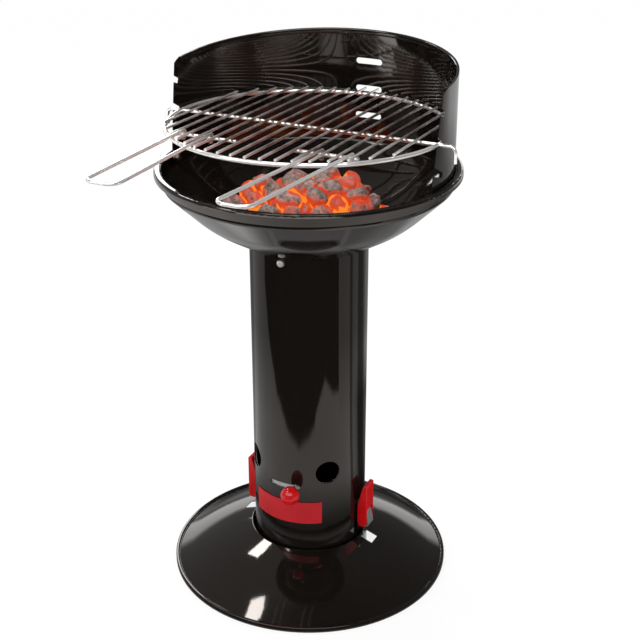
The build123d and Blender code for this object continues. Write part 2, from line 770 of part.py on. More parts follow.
# Lever: red channel with a round foot about its pivot and a wide notch for the strap
with BuildPart() as latch_lever_right:
    lever_back = lever_pivot - lever_foot_radius
    with BuildSketch(Plane.XZ):
        with BuildLine():
            foot_in = (lever_back, lever_pivot_height)
            foot_out = (lever_face, lever_pivot_height)
            foot_low = (lever_pivot, lever_pivot_height - lever_foot_radius)
            ThreePointArc(foot_in, foot_low, foot_out)
            FilletPolyline(
                foot_out,
                (lever_face, lever_tip),
                (lever_face - lever_tip_thickness, lever_tip),
                (lever_back, lever_pivot_height + lever_shoulder),
                foot_in,
                radius=[lever_tip_round, lever_tip_round, lever_shoulder_round],
            )
        make_face()
    extrude(amount=lever_width / 2, both=True)
    fillet(latch_lever_right.faces().filter_by(Axis.Y).edges(), lever_edge_round)
    with BuildSketch(Plane.XZ):
        with BuildLine():
            hollow_low = lever_pivot_height - 2 * lever_foot_radius
            hollow_top = lever_pivot_height + lever_hollow
            Polyline(
                (lever_back - lever_foot_radius, hollow_low),
                (lever_face + lever_foot_radius, hollow_low),
                (lever_face + lever_foot_radius, lever_notch_top),
                (lever_face - lever_web, lever_notch_top),
                (lever_face - lever_web, hollow_top),
                (lever_back - lever_foot_radius, hollow_top),
                close=True,
            )
        make_face()
    extrude(amount=lever_width / 2 - lever_cheek, both=True, mode=Mode.SUBTRACT)
    notch_corners = latch_lever_right.edges().filter_by(Axis.X).filter_by_position(
        Axis.Z, lever_notch_top - pin_clearance, lever_notch_top + pin_clearance
    )
    fillet(notch_corners, lever_notch_round)
    with BuildSketch(Plane.XZ):
        with Locations((lever_pivot, lever_pivot_height), (strap_pivot, strap_pivot_height)):
            Circle(latch_pin_diameter / 2 + pin_clearance)
    extrude(amount=pin_hole_reach, both=True, mode=Mode.SUBTRACT)
finish(latch_lever_right, "latch_lever_right")

with BuildPart() as latch_lever_left:
    mirror(latch_lever_right.part, about=Plane.YZ)
finish(latch_lever_left, "latch_lever_left")

with BuildPart() as latch_pin_right:
    with BuildSketch(Plane.XZ):
        with Locations((lever_pivot, lever_pivot_height)):
            Circle(latch_pin_diameter / 2)
    extrude(amount=pin_reach, both=True)
finish(latch_pin_right, "latch_pin_right")

with BuildPart() as latch_pin_left:
    mirror(latch_pin_right.part, about=Plane.YZ)
finish(latch_pin_left, "latch_pin_left")

with BuildPart() as strap_pin_right:
    with BuildSketch(Plane.XZ):
        with Locations((strap_pivot, strap_pivot_height)):
            Circle(latch_pin_diameter / 2)
    extrude(amount=pin_reach, both=True)
finish(strap_pin_right, "strap_pin_right")

with BuildPart() as strap_pin_left:
    mirror(strap_pin_right.part, about=Plane.YZ)
finish(strap_pin_left, "strap_pin_left")

# Strap: hangs from the lever's upper pin and hooks under the catch tab's ledge
with BuildPart() as latch_strap_right:
    with BuildSketch(Plane.XZ):
        with BuildLine():
            FilletPolyline(
                (strap_face, strap_pivot_height),
                (strap_face + strap_lean, strap_foot),
                (tab_face + tab_bend, strap_foot),
                radius=[strap_bend],
            )
            offset(amount=strap_sheet, side=Side.RIGHT)
        make_face()
        with Locations((strap_pivot, strap_pivot_height)):
            Circle(strap_eye_radius)
            Circle(latch_pin_diameter / 2 + pin_clearance, mode=Mode.SUBTRACT)
    extrude(amount=strap_width / 2, both=True)
finish(latch_strap_right, "latch_strap_right")

with BuildPart() as latch_strap_left:
    mirror(latch_strap_right.part, about=Plane.YZ)
finish(latch_strap_left, "latch_strap_left")
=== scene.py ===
# %% [markdown]
# A pillar charcoal grill stands on a white floor, with its fire lit. The CAD model already holds
# every hard piece at its true size. This lesson gives those pieces their finishes, adds the broken
# charcoal and the shield's soft hem as surfaces worked out with numpy, and sets up the camera and
# the studio light.

# %% Load the CAD frame
import json
from math import pi, radians

import bpy
import numpy as np
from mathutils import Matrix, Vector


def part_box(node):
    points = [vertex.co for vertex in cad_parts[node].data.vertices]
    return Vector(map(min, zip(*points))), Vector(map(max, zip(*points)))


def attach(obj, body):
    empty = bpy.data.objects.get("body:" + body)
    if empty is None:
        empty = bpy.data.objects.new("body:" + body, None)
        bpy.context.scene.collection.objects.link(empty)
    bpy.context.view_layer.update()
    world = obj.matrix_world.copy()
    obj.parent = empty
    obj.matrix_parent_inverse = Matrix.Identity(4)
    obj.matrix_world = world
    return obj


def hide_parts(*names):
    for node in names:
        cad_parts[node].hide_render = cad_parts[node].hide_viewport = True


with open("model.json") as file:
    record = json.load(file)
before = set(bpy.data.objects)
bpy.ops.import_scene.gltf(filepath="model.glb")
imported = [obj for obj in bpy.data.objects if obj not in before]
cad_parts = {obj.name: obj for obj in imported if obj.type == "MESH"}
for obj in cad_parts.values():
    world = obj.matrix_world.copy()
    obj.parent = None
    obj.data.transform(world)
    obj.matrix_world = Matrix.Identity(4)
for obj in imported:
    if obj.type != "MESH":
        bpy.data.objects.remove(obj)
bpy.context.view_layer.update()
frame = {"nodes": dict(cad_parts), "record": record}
nodes = frame["nodes"]

# %% [markdown]
# The camera comes first. It was fitted to the foot, the column, the rim and the grate, so that
# they fall where the photograph has them: it looks down by about 25 degrees from a little to the
# right of the front. The Standard view transform shows colours as they are written.


# %% Camera
def add_object(name, data):
    """A new object at the origin that holds this data, linked to the scene."""
    made = bpy.data.objects.new(name, data)
    bpy.context.scene.collection.objects.link(made)
    return made


SENSOR_MM, LENS_MM = 36.0, 71.13
EYE_PLACE = (0.7090, -1.4036, 1.0908)
DEGREES_DOWN, DEGREES_LEFT = 24.54, 26.268
eye = add_object("camera", bpy.data.cameras.new("camera"))
eye.data.sensor_width = SENSOR_MM
eye.data.lens = LENS_MM
eye.location = EYE_PLACE
eye.rotation_euler = (radians(90 - DEGREES_DOWN), 0, radians(DEGREES_LEFT))
bpy.context.scene.camera = eye
bpy.context.scene.view_settings.view_transform = "Standard"
print("camera lens:", eye.data.lens)

# %% [markdown]
# Shader maths reads best as arithmetic. A small class wraps a node's socket, and each sum on it
# adds one Math node. Every other node comes from its one method, which sets the node's settings
# first and then the value or the link of each socket.


# %% A socket that takes part in sums
class Flow:
    """A socket in one node tree. Flow + 1, 1 - Flow, Flow * Flow and so on add Math nodes."""

    def __init__(self, tree, socket=None):
        self.tree, self.socket = tree, socket

    def node(self, kind, settings=None, sockets=None, out=0):
        """Add a node: its settings first, a ramp's stops among them, then values or links."""
        made = self.tree.nodes.new(kind)
        for name, value in (settings or {}).items():
            if name == "stops":
                ramp = made.color_ramp
                while len(ramp.elements) < len(value):
                    ramp.elements.new(1.0)
                for element, (place, colour) in zip(ramp.elements, value):
                    element.position = place
                    element.color = (*colour, 1.0)
            else:
                setattr(made, name, value)
        for name, value in (sockets or {}).items():
            if isinstance(value, Flow):
                self.tree.links.new(value.socket, made.inputs[name])
            else:
                made.inputs[name].default_value = value
        return Flow(self.tree, made.outputs[out])

    def math(self, operation, left, right):
        return self.node("ShaderNodeMath", {"operation": operation}, {0: left, 1: right})

    def __add__(self, other):
        return self.math("ADD", self, other)

    def __sub__(self, other):
        return self.math("SUBTRACT", self, other)

    def __rsub__(self, other):
        return self.math("SUBTRACT", other, self)

    def __mul__(self, other):
        return self.math("MULTIPLY", self, other)

    __radd__ = __add__
    __rmul__ = __mul__

    def held(self, low, high):
        """0 below low, 1 above high, and a straight climb between them."""
        return self.node("ShaderNodeMapRange", None, {0: self, 1: low, 2: high, 3: 0.0, 4: 1.0})

    def blend(self, dark, light):
        """One colour where this value is 0, the other where it is 1. Sockets 6 and 7 of a Mix
        node are its two colours, and output 2 is the colour between them."""
        colours = {0: self, 6: dark, 7: light}
        return self.node("ShaderNodeMix", {"data_type": "RGBA"}, colours, out=2)

    def plane(self):
        """The x and y of a place."""
        return (self.node("ShaderNodeSeparateXYZ", None, {0: self}, out=axis) for axis in "XY")


print("a Flow has:", [name for name in vars(Flow) if not name.startswith("__")])

# %% [markdown]
# A finish starts from a Principled shader whose fixed values are set straight on its sockets.
# What changes over the surface, such as a speck of dust or a ripple in the enamel, is worked out
# from Object coordinates, which are metres in the grill's own frame.

# %% Starting a finish
finishes = {}


def rgb(red, green, blue):
    return (red, green, blue, 1.0)


def grey(level):
    return rgb(level, level, level)


def start_finish(slot, **fixed):
    """A new material for a record slot. Returns its Flow, its place on the piece and its shader."""
    material = bpy.data.materials.new(slot)
    material.use_nodes = True
    shader = material.node_tree.nodes["Principled BSDF"]
    for name, value in fixed.items():
        shader.inputs[name.replace("_", " ")].default_value = value
    finishes[slot] = material
    flow = Flow(material.node_tree)
    return flow, flow.node("ShaderNodeTexCoord", out="Object"), shader


def feed(flow, shader, **links):
    """Link varying values to the shader's sockets."""
    for name, value in links.items():
        flow.tree.links.new(value.socket, shader.inputs[name.replace("_", " ")])


def noise(flow, place, scale, detail=2.0, rough=0.5):
    """Cloudy values about 0.5, with this many blots to the metre."""
    values = {"Vector": place, "Scale": scale, "Detail": detail, "Roughness": rough}
    return flow.node("ShaderNodeTexNoise", None, values)


def bump(flow, height, strength, depth):
    """Tilt the normal as if the surface rose by depth metres where height is 1."""
    values = {"Strength": strength, "Distance": depth, "Height": height}
    return flow.node("ShaderNodeBump", None, values)


# %% [markdown]
# The foot, the column, the bowl and the wind shield wear black enamel. Fired enamel is glass on
# steel: almost no colour of its own, a sharp gloss, and a faint ripple called orange peel that
# bends reflections a little. A haze of handling keeps its roughness from being even. A clear coat
# over black paint would look much the same, but one glossy layer is all that glass needs.

# %% Black enamel
ENAMEL_BLACK, ENAMEL_DUST = rgb(0.0062, 0.0048, 0.004), rgb(0.014, 0.012, 0.010)
WARM_GLOSS = rgb(1.0, 0.92, 0.86)
flow, place, shader = start_finish("black_enamel", Specular_IOR_Level=0.5, Specular_Tint=WARM_GLOSS)
haze = noise(flow, place, scale=14.0, detail=3.0)
speck = noise(flow, place, scale=900.0, detail=1.0)
broad_peel = noise(flow, place, scale=160.0, detail=1.0)
fine_peel = noise(flow, place, scale=420.0, detail=1.0)
feed(
    flow,
    shader,
    Base_Color=speck.held(0.62, 0.75).blend(ENAMEL_BLACK, ENAMEL_DUST),
    Roughness=0.035 + 0.05 * haze.held(0.35, 0.7),
    Normal=bump(flow, broad_peel + 0.25 * fine_peel, strength=0.02, depth=0.0006),
)
print("made", finishes["black_enamel"].name)

# %% [markdown]
# The label and the plastic are both red, but not alike: the label is a thin painted plate with a
# satin face, and the levers and the ball are moulded plastic, smooth, with a little flow streaking.
# Both get a fine grain as bump, because an even gloss looks like wax.

# %% Reds
LABEL_DEEP, LABEL_FADED = rgb(0.42, 0.008, 0.013), rgb(0.49, 0.011, 0.017)
flow, place, shader = start_finish("red_label", Roughness=0.42, Specular_IOR_Level=0.2)
fade = noise(flow, place, scale=30.0, detail=3.0)
grain = noise(flow, place, scale=1500.0, detail=1.0)
feed(
    flow,
    shader,
    Base_Color=fade.held(0.3, 0.7).blend(LABEL_DEEP, LABEL_FADED),
    Normal=bump(flow, grain, strength=0.10, depth=0.0001),
)

PLASTIC_DEEP, PLASTIC_BRIGHT = rgb(0.46, 0.002, 0.004), rgb(0.56, 0.003, 0.006)
flow, place, shader = start_finish("red_plastic", Specular_IOR_Level=0.42)
swirl = noise(flow, place, scale=60.0, detail=4.0, rough=0.6)
pebble = noise(flow, place, scale=2200.0, detail=1.0)
feed(
    flow,
    shader,
    Base_Color=swirl.held(0.3, 0.7).blend(PLASTIC_DEEP, PLASTIC_BRIGHT),
    Roughness=0.12 + 0.08 * swirl,
    Normal=bump(flow, pebble, strength=0.12, depth=0.0001),
)
print("made", finishes["red_label"].name, "and", finishes["red_plastic"].name)

# %% [markdown]
# The bright steels differ mostly in how they scatter light. Galvanised sheet shows the flat
# crystals of its zinc, which a pattern of cells gives, each with its own tone. Zinc-plated bolts
# are finer and a little yellow.

# %% Zinc on steel
CRYSTAL_DARK, CRYSTAL_LIGHT = rgb(0.42, 0.43, 0.44), rgb(0.62, 0.63, 0.63)
flow, place, shader = start_finish("galvanised_steel", Metallic=1.0)
crystal = flow.node("ShaderNodeTexVoronoi", None, {"Vector": place, "Scale": 260.0}, out="Color")
crystal_tone = flow.node("ShaderNodeSeparateColor", None, {"Color": crystal})
cloud = noise(flow, place, scale=90.0, detail=3.0)
feed(
    flow,
    shader,
    Base_Color=crystal_tone.blend(CRYSTAL_DARK, CRYSTAL_LIGHT),
    Roughness=0.30 + 0.16 * crystal_tone + 0.10 * cloud,
)

PLATED_DARK, PLATED_LIGHT = rgb(0.52, 0.51, 0.47), rgb(0.68, 0.67, 0.63)
flow, place, shader = start_finish("zinc_steel", Metallic=1.0)
cloud = noise(flow, place, scale=240.0, detail=3.0)
feed(
    flow,
    shader,
    Base_Color=cloud.held(0.3, 0.7).blend(PLATED_DARK, PLATED_LIGHT),
    Roughness=0.26 + 0.16 * cloud,
)
print("made", finishes["galvanised_steel"].name, "and", finishes["zinc_steel"].name)

# %% [markdown]
# Chromed wire is nearly a mirror, and the fire browns it where it lies over the bowl. The browning
# follows the distance from the column's axis, so the handles stay bright and the bars don't.

# %% Chromed wire
CHROME_BRIGHT, CHROME_BROWNED = rgb(0.97, 0.94, 0.92), rgb(0.44, 0.35, 0.32)
HOT_RADIUS, COOL_RADIUS = 0.13, 0.185
flow, place, shader = start_finish("chrome_wire")
across, along = place.plane()
over_fire = 1 - (across * across + along * along).held(HOT_RADIUS**2, COOL_RADIUS**2)
stain = noise(flow, place, scale=26.0, detail=3.0, rough=0.6)
streak = noise(flow, place, scale=420.0)
browned = over_fire * (0.45 + 0.55 * stain.held(0.35, 0.65))
feed(
    flow,
    shader,
    Base_Color=browned.blend(CHROME_BRIGHT, CHROME_BROWNED),
    Metallic=0.72 + 0.20 * browned,
    Roughness=0.10 + 0.08 * browned + 0.05 * streak,
)
print("made", finishes["chrome_wire"].name)

# %% [markdown]
# The charcoal grate is bare wire that has been through many fires, so it is dull, brown and
# scaly. The latch brackets and the shield's bolts are blackened, and only a rub here and there
# lightens them.

# %% Dark steels
SCALE_DARK, SCALE_LIGHT = rgb(0.10, 0.085, 0.075), rgb(0.26, 0.22, 0.19)
flow, place, shader = start_finish("dark_wire", Metallic=1.0)
scale_marks = noise(flow, place, scale=180.0, detail=4.0, rough=0.6)
feed(
    flow,
    shader,
    Base_Color=scale_marks.held(0.35, 0.7).blend(SCALE_DARK, SCALE_LIGHT),
    Roughness=0.42 + 0.25 * scale_marks,
    Normal=bump(flow, scale_marks, strength=0.25, depth=0.0003),
)

RUBBED = 3
for slot, smoothest, black in (("black_bolt", 0.25, 0.012), ("dark_steel", 0.38, 0.018)):
    flow, place, shader = start_finish(slot, Specular_IOR_Level=0.4)
    rub = noise(flow, place, scale=300.0, detail=3.0)
    feed(
        flow,
        shader,
        Base_Color=rub.held(0.4, 0.8).blend(grey(black), grey(RUBBED * black)),
        Roughness=smoothest + 0.2 * rub,
    )
print("made dark steels:", ["dark_wire", "black_bolt", "dark_steel"])

# %% [markdown]
# Burning charcoal is black wood under a skin of pale ash. Where lumps shield each other from the
# air they glow, from deep red to yellow, and the ash burns off. Each point of the heap carries a
# number called ember, worked out with its shape, and noise breaks its edges up.

# %% Charcoal finish
CHARRED, PALE_ASH = rgb(0.08, 0.042, 0.030), rgb(0.46, 0.37, 0.33)
EMBER_STOPS = [
    (0.05, (0.0, 0.0, 0.0)),
    (0.28, (0.09, 0.010, 0.004)),
    (0.46, (0.40, 0.022, 0.004)),
    (0.70, (0.60, 0.034, 0.003)),
    (0.92, (0.72, 0.055, 0.004)),
    (1.00, (0.95, 0.24, 0.02)),
]
flow, place, shader = start_finish("charcoal", Specular_IOR_Level=0.15, Emission_Strength=1.0)
heat = flow.node("ShaderNodeAttribute", {"attribute_name": "ember"}, out="Fac")
crust = noise(flow, place, scale=120.0, detail=5.0, rough=0.65)
pores = noise(flow, place, scale=520.0, detail=3.0, rough=0.6)
patch = noise(flow, place, scale=34.0)
glow = heat + 1.5 * (patch - 0.5) + 1.3 * (crust - 0.5) + 0.5 * (pores - 0.5)
embers = flow.node("ShaderNodeValToRGB", {"stops": EMBER_STOPS}, {0: glow})
skin = crust + 0.5 * pores
ash = skin.held(0.55, 0.95) * (1 - glow.held(0.35, 0.65))
feed(
    flow,
    shader,
    Base_Color=ash.blend(CHARRED, PALE_ASH),
    Roughness=0.75 + 0.2 * pores,
    Normal=bump(flow, skin, strength=0.5, depth=0.002),
    Emission_Color=embers,
)
print("made", finishes["charcoal"].name)

# %% [markdown]
# The lumps lie as in the CAD heap, on a lattice of three layers, each in the hollows of the one
# below. The top layer reaches a little further than the CAD one, because the real heap is flat on
# top, and each lump is tumbled a little so that no row shows.

# %% Where the lumps lie
LUMP_PITCH = 0.031
HEAP_FOOT = 0.51462
LAYER_REACH = (0.104, 0.0885, 0.0625)
ROW_STEPS = np.arange(-5, 6)
TUMBLE = np.array([0.0045, 0.0045, 0.0025])
LOWEST_TUMBLE = 0.5
draw = np.random.default_rng(7)


def lattice():
    """Centres of the lumps: a square grid in each layer, every second layer shifted by half a
    pitch, then each centre tumbled a little, half as far in the lowest layer."""
    layers = []
    for layer, reach in enumerate(LAYER_REACH):
        row = ROW_STEPS * LUMP_PITCH + LUMP_PITCH / 2 * (layer % 2)
        x, y = np.meshgrid(row, row)
        inside = np.hypot(x, y) <= reach
        z = np.full(inside.sum(), HEAP_FOOT + LUMP_PITCH / 2 * (layer + 1))
        spot = np.column_stack([x[inside], y[inside], z])
        freedom = 1.0 if layer else LOWEST_TUMBLE
        layers.append(spot + draw.uniform(-1, 1, size=spot.shape) * TUMBLE * freedom)
    return np.concatenate(layers)


centres = lattice()
print("lumps:", len(centres))

# %% [markdown]
# Every lump starts as a ball of directions, with the same faces. The lumps are one array, so the
# whole heap is worked out in one step, with no loop over its points.

# %% Ball of directions
POLAR_STEPS, ROUND_STEPS = 22, 32


def ball_directions():
    """Unit vectors on a ball: the top pole, rings of equal polar angle, the bottom pole."""
    polar_angles = np.linspace(0, pi, POLAR_STEPS + 1)[1:-1]
    round_angles = np.linspace(0, 2 * pi, ROUND_STEPS, endpoint=False)
    polar, turn = np.meshgrid(polar_angles, round_angles, indexing="ij")
    ring = [np.sin(polar) * np.cos(turn), np.sin(polar) * np.sin(turn), np.cos(polar)]
    return np.concatenate([[[0, 0, 1]], np.stack(ring, axis=-1).reshape(-1, 3), [[0, 0, -1]]])


def grid_quads(index):
    """The four corners of each square in a grid of point numbers, all going round the same way."""
    corners = [index[:-1, :-1], index[1:, :-1], index[1:, 1:], index[:-1, 1:]]
    return np.stack(corners, axis=-1).reshape(-1, 4)


def ball_faces():
    """Quads between the rings and a fan of triangles at each pole, as two index arrays."""
    rows = POLAR_STEPS - 1
    ring = 1 + np.arange(rows * ROUND_STEPS).reshape(rows, ROUND_STEPS)
    after = np.roll(ring, -1, axis=1)
    top_pole, bottom_pole = 0, rows * ROUND_STEPS + 1
    top_fan = np.stack([np.full_like(ring[0], top_pole), ring[0], after[0]], axis=-1)
    bottom_fan = np.stack([np.full_like(ring[0], bottom_pole), after[-1], ring[-1]], axis=-1)
    closed = np.column_stack([ring, ring[:, 0]])
    return grid_quads(closed), np.concatenate([top_fan, bottom_fan])


directions = ball_directions()
print("directions:", len(directions))

# %% [markdown]
# A burning lump is broken wood, with flat faces and worn edges. A ball whose radius is held in by
# flats gives that: one flat between it and each other lump, so that they never enter each other,
# one where it sits, and a few at random that give it broken faces of its own. Displacing a ball
# with noise would be quicker, but its lumps look like pebbles.

# %% Shape of the lumps
LUMP_REACH = 0.0185
LUMP_LEAN = 0.0015
LUMP_FIT = 0.985
BROKEN_FLATS = 8
BROKEN_NEAREST, BROKEN_FURTHEST = 0.30, 0.56
EDGE_POWER = 26
PIT_AXES = [0, 1, 2, 0, 1, 2]
PIT_SLOWEST, PIT_FASTEST = 4, 11
PIT_SHRINK, PIT_DEPTH = 0.985, 0.06


def lump_shapes():
    """Radius in direction d: (R ** -p + sum over flats of max(d . n / h, 0) ** p) ** (-1 / p), so
    the nearest flat wins, p rounds the edges between flats and R is the furthest reach. A flat
    between two lumps stands about halfway, nearer to the smaller one. Sines then pit the surface."""
    count = len(centres)
    between = centres[None] - centres[:, None]
    apart = np.linalg.norm(between, axis=-1, keepdims=True)
    apart[np.diag_indices(count)] = np.inf
    lean = draw.uniform(-LUMP_LEAN, LUMP_LEAN, size=(count, 1, 1))
    shared = between / apart / (LUMP_FIT * apart / 2 + lean - lean.transpose(1, 0, 2))
    broken = draw.normal(size=(count, BROKEN_FLATS, 3))
    broken /= np.linalg.norm(broken, axis=-1, keepdims=True)
    stand_off = draw.uniform(BROKEN_NEAREST, BROKEN_FURTHEST, size=(count, BROKEN_FLATS, 1))
    broken /= LUMP_PITCH * stand_off
    seat = np.array([0, 0, -1]) / (centres[:, None, 2:] - HEAP_FOOT)
    flats = np.concatenate([shared, broken, seat], axis=1)
    reach = np.maximum(np.einsum("vc,lfc->lvf", directions, flats), 0)
    radius = ((reach**EDGE_POWER).sum(axis=-1) + LUMP_REACH**-EDGE_POWER) ** (-1 / EDGE_POWER)
    waves = draw.uniform(PIT_SLOWEST, PIT_FASTEST, size=(count, 1, len(PIT_AXES)))
    phase = draw.uniform(0, 2 * pi, size=(count, 1, len(PIT_AXES)))
    pits = np.sin(waves * directions[None, :, PIT_AXES] + phase).mean(axis=-1)
    return radius * (PIT_SHRINK - PIT_DEPTH * np.abs(pits))


radii = lump_shapes()
points = centres[:, None] + radii[..., None] * directions[None]
print("radii from", radii.min(), "to", radii.max())

# %% [markdown]
# Heat stays where lumps lie close, so the glow follows the distance to the nearest other lump.
# Some lumps have burnt longer than others, so each also has a heat of its own.

# %% Embers
SHELTER_FAR, SHELTER_SPAN = 0.026, 0.011
SHELTER_HEAT = 0.80
COLDEST, HOTTEST = -0.16, 0.60


def lump_embers():
    """Ember: most where another lump is near enough to hold the heat in, none where the surface is
    open to the air, worked out from the distance to the nearest other lump's centre; then each
    lump adds its own draw, some hotter and some colder."""
    apart = np.linalg.norm(points[:, :, None] - centres[None, None], axis=-1)
    itself = np.arange(len(centres))
    apart[itself, :, itself] = np.inf
    shelter = np.clip((SHELTER_FAR - apart.min(axis=-1)) / SHELTER_SPAN, 0, 1)
    own = draw.uniform(COLDEST, HOTTEST, size=(len(centres), 1))
    return shelter * SHELTER_HEAT + own


embers_by_point = lump_embers()
print("embers from", embers_by_point.min(), "to", embers_by_point.max())

# %% [markdown]
# The heap is one mesh of separate lumps. It hides the plain CAD charcoal, which stays for
# collisions, and it rides on the charcoal grate.


# %% Heap of charcoal
def add_mesh(name, points, faces):
    """A new mesh object from an array of points and a list of faces."""
    mesh = bpy.data.meshes.new(name)
    mesh.from_pydata(points.reshape(-1, 3).tolist(), [], faces)
    return add_object(name, mesh)


def keep_values(mesh, name, values):
    """Store one number for each point of a mesh, which a material reads by this name."""
    numbers = values.ravel().astype(np.float32)
    mesh.attributes.new(name, "FLOAT", "POINT").data.foreach_set("value", numbers)


lump_starts = np.arange(len(centres))[:, None, None] * len(directions)
quads, fans = ((lump_starts + part).reshape(-1, part.shape[1]).tolist() for part in ball_faces())
heap = add_mesh("charcoal_heap", points, quads + fans)
keep_values(heap.data, "ember", embers_by_point)
heap.data.shade_smooth()
heap.data.materials.append(finishes["charcoal"])
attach(heap, "coal_bed")
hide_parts("charcoal")
print("heap faces:", len(heap.data.polygons))

# %% [markdown]
# The top of the wind shield is hemmed: its sheet is folded in and pressed to a soft roll. The CAD
# model has the fold as a flat band, and this piece rounds it off, so that it catches the light.
# Its cross-section is a superellipse that encloses the band, swept along the sloping top edge. A
# bevel on the CAD mesh could not do it, because that mesh is never changed.

# %% Rolled hem
_, (_, SHIELD_RADIUS, SHIELD_TOP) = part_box("wind_shield")
TOP_SLOPE = 0.0902
HEM_END = -0.004
HEM_HALF_WIDTH, HEM_HALF_HEIGHT, HEM_INSET = 0.0019, 0.0036, 0.0020
HEM_POWER = 2 / 3
HEM_ROUNDS, HEM_STEPS = 28, 140


def squared_off(wave):
    """A sine or cosine whose size is raised to a power under 1, which squares a circle's sides."""
    return np.sign(wave) * np.abs(wave) ** HEM_POWER


def hem_surface():
    """A tube: from the top edge, inwards by inset + half width * sin ** (2 / 3), and down by half
    height * (1 - cos ** (2 / 3)), as the section goes round; along the edge the height falls with
    the slope as the edge comes forward."""
    half_sweep = np.arccos(HEM_END / SHIELD_RADIUS)
    sweep_angles = np.linspace(-half_sweep, half_sweep, HEM_STEPS)
    section_angles = np.linspace(0, 2 * pi, HEM_ROUNDS, endpoint=False)
    sweep, section = np.meshgrid(sweep_angles, section_angles, indexing="ij")
    inward = HEM_INSET + HEM_HALF_WIDTH * squared_off(np.sin(section))
    down = HEM_HALF_HEIGHT * (1 - squared_off(np.cos(section)))
    forward = SHIELD_RADIUS * (1 - np.cos(sweep))
    reach = SHIELD_RADIUS - inward
    height = SHIELD_TOP - TOP_SLOPE * forward - down
    return np.stack([reach * np.sin(sweep), reach * np.cos(sweep), height], axis=-1)


rings = np.arange(HEM_STEPS * HEM_ROUNDS).reshape(HEM_STEPS, HEM_ROUNDS)
hem_quads = grid_quads(np.vstack([rings.T, rings[:, 0]])).tolist()
hem_caps = [rings[0, ::-1].tolist(), rings[-1].tolist()]
hem = add_mesh("hem_roll", hem_surface(), hem_quads + hem_caps)
is_side = np.arange(len(hem.data.polygons)) < len(hem_quads)
hem.data.polygons.foreach_set("use_smooth", is_side)
hem.data.materials.append(finishes["black_enamel"])
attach(hem, "stand")
print("hem faces:", len(hem.data.polygons))

# %% [markdown]
# Every other CAD node keeps its mesh and takes the finish of its record slot.

# %% Dress the CAD nodes
for part in frame["record"]["subparts"]:
    mesh = nodes[part["node"]].data
    mesh.materials.clear()
    mesh.materials.append(finishes[part["material_slot"]])

# %% [markdown]
# The grill stands on white. A floor that is partly lit and partly its own light stays white for
# the camera, and still darkens a little where the grill shades it. The sky is white too.


# %% Floor and sky
def seen_directly(flow):
    """1 for camera, glossy and transmission rays, 0 for the rays that only carry light."""
    path = flow.node("ShaderNodeLightPath").socket.node
    kinds = ("Is Camera Ray", "Is Glossy Ray", "Is Transmission Ray")
    camera, glossy, through = (Flow(flow.tree, path.outputs[kind]) for kind in kinds)
    return flow.math("MAXIMUM", flow.math("MAXIMUM", camera, glossy), through)


def stage_paint(name):
    """A material for a stage surface, with no shader yet. Returns it and its Flow."""
    paint = bpy.data.materials.new(name)
    paint.use_nodes = True
    paint.node_tree.nodes.remove(paint.node_tree.nodes["Principled BSDF"])
    return paint, Flow(paint.node_tree)


def show(flow, surface):
    """Send a shader to the material's output."""
    flow.tree.links.new(surface.socket, flow.tree.nodes["Material Output"].inputs["Surface"])


FLOOR_HALF = 8.0
FLOOR_GREY = 0.95
OWN_LIGHT_SHARE = 0.85
floor_corners = FLOOR_HALF * np.array([(-1, -1, 0), (1, -1, 0), (1, 1, 0), (-1, 1, 0)])
floor = add_mesh("floor", floor_corners, [(0, 1, 2, 3)])
floor_paint, flow = stage_paint("white_floor")
lit = flow.node("ShaderNodeBsdfDiffuse", None, {"Color": grey(FLOOR_GREY)})
bright = flow.node("ShaderNodeEmission", None, {"Color": grey(1.0), "Strength": 1.0})
own_light = OWN_LIGHT_SHARE * seen_directly(flow)
show(flow, flow.node("ShaderNodeMixShader", None, {0: own_light, 1: lit, 2: bright}))
floor.data.materials.append(floor_paint)

world = bpy.data.worlds.new("studio")
bpy.context.scene.world = world
world.use_nodes = True
sky = world.node_tree.nodes["Background"]
sky.inputs["Color"].default_value = grey(1.0)
sky.inputs["Strength"].default_value = 1.0
print("floor half width:", FLOOR_HALF)

# %% [markdown]
# Gloss black shows its surroundings and little else, so a photographer shapes them with cloths and
# cards. Here they are surfaces that give off a tone of their own. They are for reflections alone:
# the camera doesn't see them, and they take no light away.

# %% Surfaces for reflections
TONE_TOP = 4.0
mirror_tone, flow = stage_paint("mirror_tone")
tone_share = flow.node("ShaderNodeAttribute", {"attribute_name": "tone"}, out="Fac")
tone_colour = tone_share.blend(grey(0.0), grey(TONE_TOP))
show(flow, flow.node("ShaderNodeEmission", None, {"Color": tone_colour, "Strength": 1.0}))


def toned_grid(name, points, tone):
    """A stage surface from a grid of points that gives off its own tone, seen in mirrors alone."""
    rows, columns = points.shape[:2]
    index = np.arange(rows * columns).reshape(rows, columns)
    made = add_mesh(name, points, grid_quads(index).tolist())
    keep_values(made.data, "tone", tone / TONE_TOP)
    for kind in ("camera", "diffuse", "transmission", "volume_scatter", "shadow"):
        setattr(made, "visible_" + kind, False)
    made.data.materials.append(mirror_tone)


CAMERA_TURN = np.arctan2(eye.location.x, -eye.location.y)


def around(turn, distance, height):
    """Points at a turn from the camera's side, positive to the camera's right, round the column."""
    angle = turn + CAMERA_TURN
    x, y = distance * np.sin(angle), -distance * np.cos(angle)
    return np.stack(np.broadcast_arrays(x, y, height), axis=-1)


def by_turn(turn, steps):
    """Tone that changes with the turn alone, straight between the given (degrees, tone) steps."""
    degrees, tones = np.array(steps).T
    return np.interp(np.degrees(turn), degrees, tones)


print("camera's side, degrees from the front:", np.degrees(CAMERA_TURN))

# %% [markdown]
# A dim cloth hung round the studio keeps the sky out of the enamel, all but a bright window behind
# the camera and a low pale backdrop, which draw fine lines along the wires and the rolled edges.
# The cloth is a dome about the column, and its tone changes with the turn and with the height.

